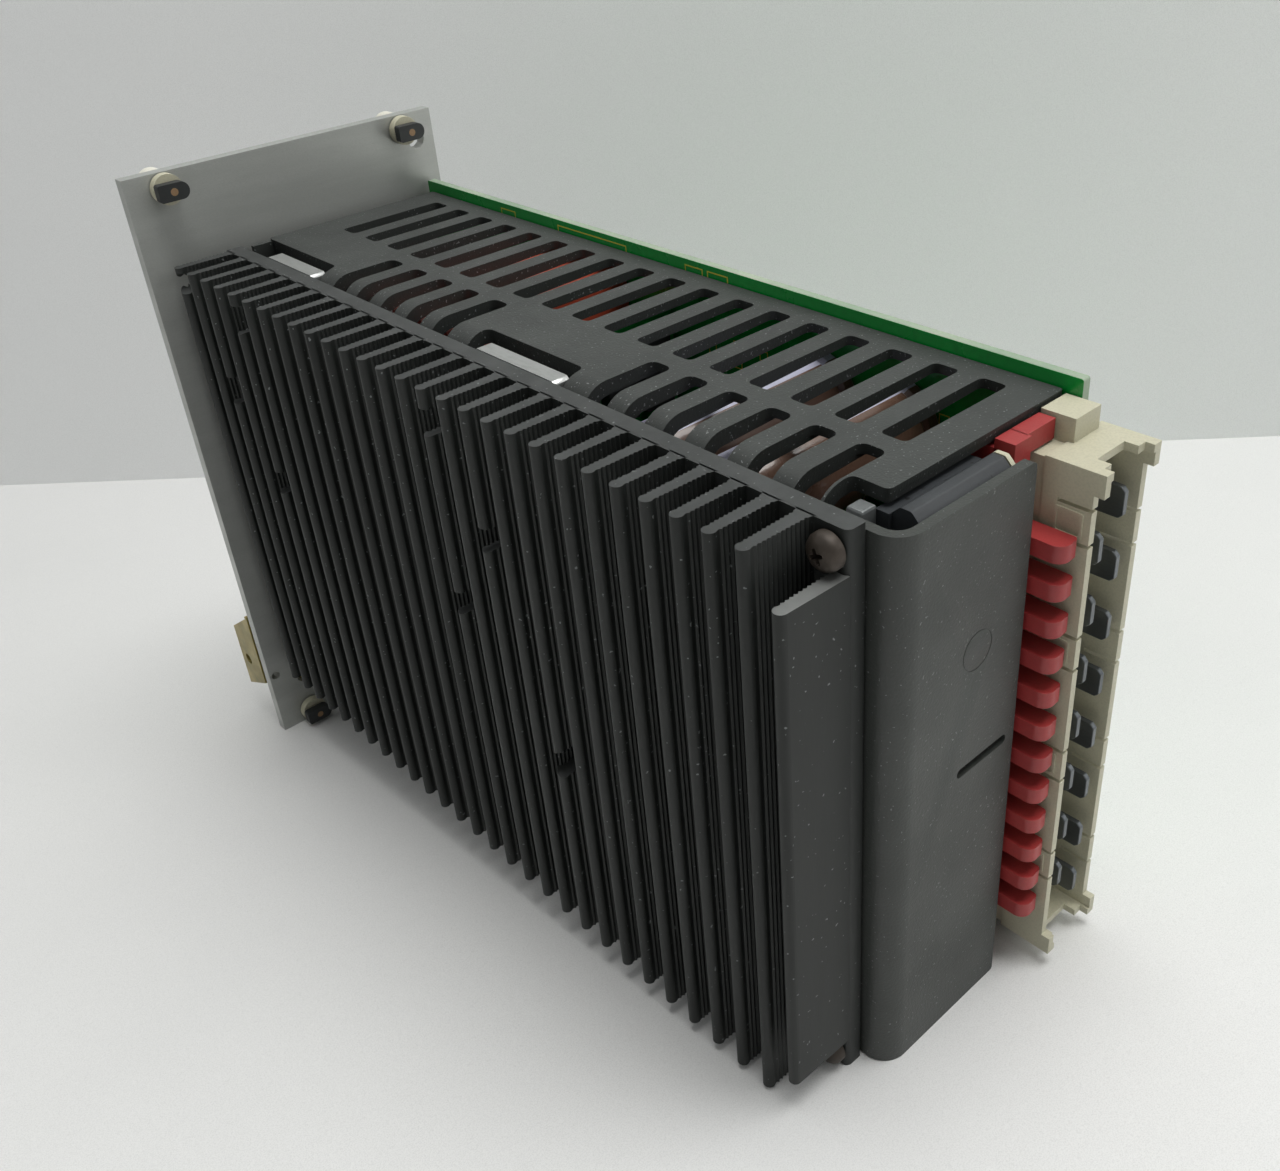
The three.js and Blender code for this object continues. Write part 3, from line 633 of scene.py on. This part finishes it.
def build_connector():
    lo, hi = extent("connector_body")
    x1 = lo.x + 13.1
    rim = hi.y - 1.5
    z0, z1 = lo.z + 3.5, hi.z - 3.5
    wall = 1.25
    middle = (z0 + z1) / 2
    bm = bmesh.new()

    def flap_wall(x_low, x_high, centres, low):
        """A long wall: slit on both sides of each coding flap, open at the rim, higher at both ends."""
        end0, end1 = z0 + wall - 0.02, z1 - wall + 0.02
        outline = [(low, end0), (hi.y, end0), (hi.y, z0 + 3.4), (rim, z0 + 3.4)]
        for centre in sorted(centres):
            for edge in (centre - FLAP_W / 2, centre + FLAP_W / 2):
                a, b = edge - SLIT_W / 2, edge + SLIT_W / 2
                outline += [(rim, a), (rim - SLIT_DEPTH, a), (rim - SLIT_DEPTH, b), (rim, b)]
        outline += [(rim, z1 - 3.4), (hi.y, z1 - 3.4), (hi.y, end1), (low, end1)]
        slab(outline, x_low, x_high, warp=along_x, into=bm)

    sink_side = [middle + 35.56 - FLAP_PITCH * k for k in range(FLAPS)]
    board_side = [middle + 30.48 - FLAP_PITCH * k for k in range(FLAPS)]
    base = extent("contact_blade_01")[0].y - 0.3
    flap_wall(x1 - wall, x1, sink_side, base - 1)
    flap_wall(lo.x, lo.x + wall, board_side, base - 1)
    # floor of the shroud, with a ridge along each row of blades
    floor_outline = rectangle(lo.x + 0.1, x1 - 0.1, z0 + 0.1, z1 - 0.1)
    slab(floor_outline, base - 1.2, base, warp=along_y, into=bm)
    for x in (lo.x + 4.0, x1 - 4.0):
        slab(rectangle(x - 0.55, x + 0.55, z0 + 2, z1 - 2), base - 0.1, base + 0.9, warp=along_y, into=bm)
    for centre in sink_side:
        frame_outer = rounded(rectangle(rim - 5.4, rim - 1.1, centre - 2.0, centre + 2.0), 0.3)
        frame_inner = rounded(rectangle(rim - 5.0, rim - 1.5, centre - 1.6, centre + 1.6), 0.3)
        slab(frame_outer, x1 - 0.4, x1 + 0.22, [frame_inner], warp=along_x, into=bm)
    # stepped end plates, mirrored
    steps = [(lo.x, hi.y), (lo.x + 1.7, hi.y), (lo.x + 1.7, rim + 0.1), (lo.x + 3.3, rim + 0.1),
             (lo.x + 3.3, rim - 2)]
    mirrored = [(lo.x + x1 - x, y) for x, y in reversed(steps)]
    for zed in ((z1 - wall, z1), (z0, z0 + wall)):
        slab([(lo.x, base - 1)] + steps + mirrored + [(x1, base - 1)], zed[0], zed[1], into=bm)
    # the mounting bar on the board, and an ear at each end
    ear_x = extent("circuit_board")[1].x + 6.2
    slab(rectangle(lo.x + 2.1, x1 - 0.3, z0 + 0.4, z1 - 0.4), lo.y, base - 0.5, warp=along_y, into=bm)
    for zed in ((z1 - 3, hi.z), (lo.z, z0 + 3)):
        slab(rectangle(lo.x + 2.1, ear_x, lo.y + 4.2, base - 0.1), zed[0], zed[1], into=bm)
    finish_piece(bm, "connector_shroud", IVORY, replaces=["connector_body"], bevel=0.16, smooth=40)


def build_comb():
    lo, hi = extent("coding_comb")
    x1 = hi.x
    x0 = x1 - 4.65
    bar_y = lo.y + 4.2
    bm = bmesh.new()
    slab(rectangle(x0, x1, lo.y, bar_y), lo.z, hi.z - 1.4, into=bm)
    slab(rectangle(x0 + 1.05, x1, bar_y - 0.3, lo.y + 7.1), hi.z - 6.4, hi.z, into=bm)
    slab(rectangle(lo.x, x0 + 1.3, bar_y - 0.3, lo.y + 6.5), hi.z - 3, hi.z, into=bm)
    middle = extent("front_panel")[1].z / 2
    for i in range(12):
        z = middle + (5.5 - i) * 6
        tab = [(x0 + 0.2, bar_y - 0.6), (x1 - 0.6, bar_y - 0.6), (x1 - 0.6, hi.y), (x0 + 0.2, hi.y - 0.2)]
        slab(rounded(tab, [0, 0, 2.2, 0.8], 8), z - 1.35, z + 1.35, into=bm)
        for side in (-1, 1):
            near, far = z + side * 1.3, z + side * 2.6
            fillet = [(bar_y - 0.2, near), (bar_y + 1.1, near), (bar_y - 0.2, far)]
            slab(fillet, x0 + 0.4, x1 - 0.8, warp=along_x, into=bm)
    finish_piece(bm, "comb_detailed", RED, replaces=["coding_comb"], bevel=0.25, segments=3, smooth=40)


# ---------------------------------------------------------------- board and components
def build_board():
    lo, hi = extent("circuit_board")
    bm = bmesh.new()
    holes = [ring(79.3, 64.2 + s * 44.5, 1.5, 20) for s in (-1, 1)]
    slab(rounded(rectangle(lo.y, hi.y, lo.z, hi.z), 0.4), lo.x, hi.x, holes, warp=along_x, into=bm)
    finish_piece(bm, "board_detailed", [BOARD, LAMINATE], replaces=["circuit_board"], bevel=0.06,
                 segments=1, pick=lambda centre, normal: 0 if abs(normal.x) > 0.7 else 1)
    # printed outlines along the upper edge, on the component side
    bm = bmesh.new()
    for y0, y1, z0 in ((-51.5, -46.7, 111.0), (-33, -12.7, 109.0), (3, 7.5, 110.4), (8.6, 13.7, 110.2)):
        frame_line(bm, y0, y1, z0, 113.2, hi.x)
    for k in range(9):
        y0 = 8 + 6.3 * k
        frame_line(bm, y0, y0 + 2.0, 94 + 3 * (k % 3), 102, hi.x)
    finish_piece(bm, "board_print", YELLOW)
    # solder joints and cut leads on the far side
    bm = bmesh.new()
    for row in range(13):
        for k in range(22):
            if chance.random() < 0.55:
                y = lo.y + 6 + 6.9 * k + chance.choice((0, 2.54))
                z = lo.z + 5 + 7.4 * row + chance.choice((0, 2.54))
                r = chance.uniform(0.75, 1.15)
                joint = [(0, lo.x - 0.22), (r * 0.45, lo.x - 0.2), (r, lo.x), (0, lo.x + 0.1)]
                lathe(joint, 12, "x", (0, y, z), bm)
    finish_piece(bm, "solder_joints", NICKEL)


def frame_line(bm, y0, y1, z0, z1, x):
    width = 0.22
    inside = rectangle(y0 + width, y1 - width, z0 + width, z1 - width)
    slab(rectangle(y0, y1, z0, z1), x, x + 0.03, [inside], warp=along_x, into=bm)


def build_components():
    for i in (1, 2):
        lo, hi = extent(f"bus_capacitor_{i}")
        y, z = (lo.y + hi.y) / 2, (lo.z + hi.z) / 2
        r = (hi.y - lo.y) / 2
        profile = [(0, lo.x), (r - 0.4, lo.x), (r, lo.x + 0.5), (r, lo.x + 2.4), (r - 0.6, lo.x + 3.1),
                   (r, lo.x + 3.9), (r, hi.x - 0.8), (r - 0.3, hi.x - 0.2), (r - 1.0, hi.x),
                   (r - 1.5, hi.x - 0.5), (0, hi.x - 0.5)]

        def pick(centre, normal, y=y, z=z, end=hi.x):
            angle = math.degrees(math.atan2(centre.z - z, centre.y - y))
            if centre.x > end - 0.7:
                return 2 if math.hypot(centre.y - y, centre.z - z) < 6 else 0
            return 1 if 66 < angle < 140 else 0

        finish_piece(lathe(profile, 60, "x", (0, y, z)), f"capacitor_{i}", [SLEEVE, STRIPE, STEEL],
                     replaces=[f"bus_capacitor_{i}"], pick=pick)
        mark = rounded(rectangle(lo.x + 7, lo.x + 24, 86, 106), 9, 8)
        inside = rounded(rectangle(lo.x + 7.4, lo.x + 23.6, 88.5, 103.5), 7, 8)

        def wrap(a, b, c, y=y, z=z, r=r):
            t = math.radians(b)
            return (a, y + (r + c) * math.cos(t), z + (r + c) * math.sin(t))

        outline = slab(mark, 0.0, 0.03, [inside], warp=wrap)
        bmesh.ops.recalc_face_normals(outline, faces=outline.faces[:])
        finish_piece(outline, f"capacitor_mark_{i}", EPOXY)
    lo, hi = extent("film_capacitor")
    bm = slab(rounded(rectangle(lo.y, hi.y, lo.z, hi.z), 2.2, 6), lo.x, hi.x, warp=along_x)
    finish_piece(bm, "film_block", RESIN, replaces=["film_capacitor"], bevel=1.1, segments=4)
    lo, hi = extent("control_card")
    bm = slab(rectangle(lo.x, hi.x, lo.z, hi.z), lo.y, hi.y, warp=along_y)
    finish_piece(bm, "card_detailed", [BOARD, LAMINATE], replaces=["control_card"], bevel=0.06, segments=1,
                 pick=lambda centre, normal: 0 if abs(normal.y) > 0.7 else 1)
    bm = bmesh.new()
    for k in range(3):
        x0 = lo.x + 3 + 8.4 * k
        chip = rounded(rectangle(x0, x0 + 6.4, hi.z - 18, hi.z - 4), 0.3)
        slab(chip, hi.y + 0.02, hi.y + 2.6, warp=along_y, into=bm)
    finish_piece(bm, "card_chips", EPOXY, bevel=0.2)
    for i in range(1, 7):
        dress(f"power_transistor_{i}", EPOXY, 0.3)


def build_spreaders():
    for where in ("front", "rear"):
        dress(f"spreader_{where}", MILL, 0.12)
    dress("rear_bracket", WORN, 0.3)


# ---------------------------------------------------------------- front
def build_panel():
    dress("front_panel", PANEL, 0.25)
    for where in ("top_sink", "top_board", "low_sink", "low_board"):
        build_fastener(where)
    lo, hi = extent("status_led")
    x, z = (lo.x + hi.x) / 2, (lo.z + hi.z) / 2
    r = (hi.x - lo.x) / 2
    turns = [k * math.pi / 16 for k in range(8, -1, -1)]
    dome = [(r * math.cos(t), lo.y + r - r * math.sin(t)) for t in turns]
    dome = [(0, lo.y)] + dome[1:] + [(r, hi.y), (0, hi.y)]
    finish_piece(lathe(dome, 32, "y", (x, 0, z)), "lamp", LAMP, replaces=["status_led"])


def build_fastener(where):
    body = f"fastener_{where}"
    lo, hi = extent(f"collar_{where}")
    x, z = (lo.x + hi.x) / 2, (lo.z + hi.z) / 2
    r = (hi.x - lo.x) / 2
    bush = slab(ring(x, z, r, 40), lo.y, hi.y, [ring(x, z, 1.3, 28)], warp=along_y)
    finish_piece(bush, f"bush_{where}", IVORY, replaces=[f"collar_{where}"], bevel=0.25, segments=3)
    lo, hi = extent(f"knob_{where}")
    r = (hi.x - lo.x) / 2
    seat = lo.y + 3.8
    profile = [(0, lo.y), (r - 0.7, lo.y), (r - 0.2, lo.y + 0.25), (r, lo.y + 0.8), (r, seat - 0.3),
               (r - 0.3, seat), (0.8, seat), (0.8, hi.y - 0.4), (0, hi.y - 0.4)]
    head = lathe(profile, 44, "y", (x, 0, z))
    knob = finish_piece(head, f"slotted_head_{where}", KNOB, body, [f"knob_{where}"])
    carve(knob, slab(rectangle(x - 4, x + 4, z - 0.5, z + 0.5), lo.y - 1, lo.y + 1.1, warp=along_y))
    lo, hi = extent(f"cam_{where}")
    half = (hi.z - lo.z) / 2
    arm = rounded(rectangle(lo.x, hi.x, lo.z, hi.z), [half, 0.5, 0.5, half], 10)
    finish_piece(slab(arm, lo.y, hi.y, warp=along_y), f"locking_cam_{where}", STEEL, body, [f"cam_{where}"],
                 bevel=0.3, segments=3)
    pin = slab(ring(x, z, 0.7, 24), hi.y - 0.3, hi.y + 0.06, warp=along_y)
    finish_piece(pin, f"pin_end_{where}", TAN, body, bevel=0.1)


def build_service_connector():
    dress("service_shell", CHROMATE, 0.2)
    lo, hi = extent("service_insert")
    x, z = (lo.x + hi.x) / 2, (lo.z + hi.z) / 2
    wide, tall = (hi.x - lo.x) / 2, (hi.z - lo.z) / 2
    outline = rounded([(x - wide, z + tall), (x + wide, z + tall), (x + wide - 1.2, z - tall),
                       (x - wide + 1.2, z - tall)], 0.8)
    sockets = [ring(x + (k - 2) * 2.77, z + 1.42, 0.6, 16) for k in range(5)]
    sockets += [ring(x + (k - 1.5) * 2.77, z - 1.42, 0.6, 16) for k in range(4)]
    finish_piece(slab(outline, lo.y, hi.y, sockets, warp=along_y), "socket_insert", EPOXY,
                 replaces=["service_insert"], bevel=0.1)
    for i in (1, 2):
        dress(f"jack_post_{i}", NICKEL, 0.15)
    dress("shield_bracket", CHROMATE, 0.12)
    for i in (1, 2):
        dress(f"connector_rivet_{i}", STEEL, 0.25, 3)
    for i in range(1, 16):
        dress(f"contact_blade_{i:02d}", BLADE, 0.16)


build_heatsink()
build_heatsink_screws()
build_grille("top_grille", True)
build_grille("bottom_grille", False)
build_rear_shell()
build_choke()
build_connector()
build_comb()
build_board()
build_components()
build_spreaders()
build_panel()
build_service_connector()


# ---------------------------------------------------------------- stage, lights and camera
def build_stage():
    panel_lo, panel_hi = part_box("front_panel")
    shell_lo, shell_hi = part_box("rear_shell")
    rest = Vector((0, panel_hi.y, panel_lo.z))
    tilt = math.atan2(shell_lo.z - panel_lo.z, shell_hi.y - panel_hi.y)
    turn = Matrix.Rotation(tilt, 4, "X")
    place = Matrix.Translation(rest) @ turn
    floor_material = surface("pale_floor", linear(222, 222, 221), linear(217, 217, 216), (0.6, 0.75),
                             patch=4, grain=5000, bump=0.05, streak=(linear(200, 201, 202), 0.18, 9))
    wall_material = surface("pale_wall", linear(238, 239, 238), linear(234, 235, 235), (0.75, 0.85),
                            patch=2, grain=5000, bump=0.05)

    def sheet(name, corners, material):
        mesh = bpy.data.meshes.new(name)
        mesh.from_pydata([place @ Vector(c) for c in corners], [], [(0, 1, 2, 3)])
        mesh.materials.append(material)
        piece = bpy.data.objects.new(name, mesh)
        bpy.context.collection.objects.link(piece)

    far = 4.0
    sheet("floor", [(-far, -far, 0), (far, -far, 0), (far, far, 0), (-far, far, 0)], floor_material)
    foot, along = Vector((-0.103, -0.062, 0)), Vector((-0.59, 0.807, 0))
    a, b = foot - along * far, foot + along * far
    sheet("wall", [a, b, b + Vector((0, 0, 3)), a + Vector((0, 0, 3))], wall_material)
    return place


def lamp(name, place, spot, target, size, power, colour=(1, 1, 1)):
    data = bpy.data.lights.new(name, "AREA")
    data.shape = "DISK"
    data.size = size
    data.energy = power
    data.color = colour
    piece = bpy.data.objects.new(name, data)
    bpy.context.collection.objects.link(piece)
    at = place @ Vector(spot)
    piece.location = at
    piece.rotation_euler = (Vector(target) - at).to_track_quat("-Z", "Y").to_euler()


place = build_stage()
lamp("overhead", place, (-0.2, 0.35, 1.3), (0, 0, 0.05), 1.0, 20, (1.0, 1.0, 0.985))
lamp("side", place, (1.0, -0.6, 0.9), (0, 0, 0.06), 0.8, 1.2, (0.98, 0.99, 1.0))
lamp("rear", place, (-0.7, 1.2, 0.7), (0, 0, 0.06), 0.8, 3.4)
world = bpy.data.worlds.new("soft_room")
world.use_nodes = True
world.node_tree.nodes["Background"].inputs["Color"].default_value = (0.98, 1.0, 0.99, 1)
world.node_tree.nodes["Background"].inputs["Strength"].default_value = 0.26
bpy.context.scene.world = world
bpy.context.scene.view_settings.view_transform = "Standard"
bpy.context.scene.view_settings.look = "None"

camera = bpy.data.cameras.new("camera")
camera.sensor_width = 36
camera.lens = 35.744
camera.shift_x = -0.0526
camera.shift_y = -0.0266
camera.clip_start = 0.01
viewer = bpy.data.objects.new("camera", camera)
bpy.context.collection.objects.link(viewer)
right = Vector((-0.72462, 0.68681, -0.05666))
up = Vector((-0.39977, -0.35196, 0.84635))
back = Vector((0.56135, 0.63593, 0.5296))
turn = Matrix((right, up, back)).transposed()
viewer.matrix_world = Matrix.Translation(Vector((111.516, 163.129, 187.365)) * MM) @ turn.to_4x4()
bpy.context.scene.camera = viewer

bpy.context.view_layer.update()
